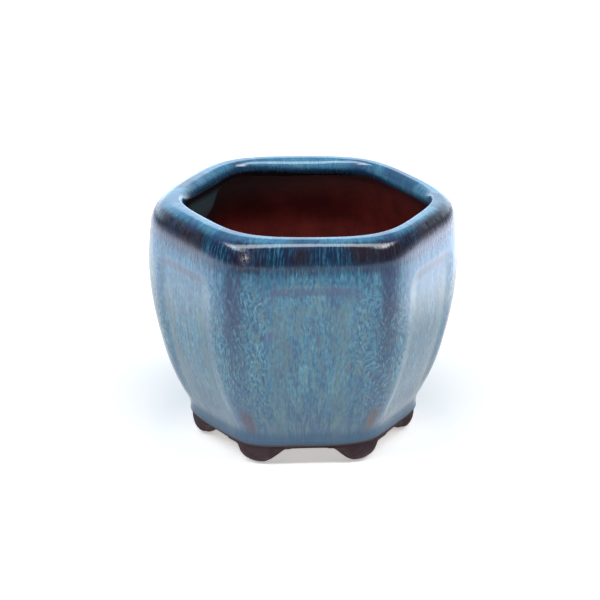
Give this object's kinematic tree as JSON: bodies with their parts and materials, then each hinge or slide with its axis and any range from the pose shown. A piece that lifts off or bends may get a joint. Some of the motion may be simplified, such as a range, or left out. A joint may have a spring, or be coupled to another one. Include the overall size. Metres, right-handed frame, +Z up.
{
  "type": "bonsai pot",
  "caption": "Small hexagonal bonsai pot of glazed stoneware with soft ridges, sunk side panels, a rolled rim, short corner feet and a drain hole.",
  "frame": {"origin": "middle of the pot at ground level, under the feet", "axes": "+Z up, two opposite ridges on the X axis, the front slab facing -Y"},
  "size_m": [0.1008, 0.093, 0.0809],
  "materials": {
    "clay_body": "unglazed, matte, dark red-brown inside",
    "clay_feet": "unglazed, satin, dark purple-brown",
    "glaze": "glossy kiln-change glaze, streaked teal and blue, breaking dark on the ridges and the rim"
  },
  "bodies": {
    "root": {"base_slab": "clay_body", "wall_1": "clay_body", "wall_2": "clay_body", "wall_3": "clay_body", "wall_4": "clay_body", "wall_5": "clay_body", "wall_6": "clay_body", "rim": "clay_body", "foot_1": "clay_feet", "foot_2": "clay_feet", "foot_3": "clay_feet", "foot_4": "clay_feet", "foot_5": "clay_feet", "foot_6": "clay_feet", "glaze": "glaze"}
  },
  "joints": []
}
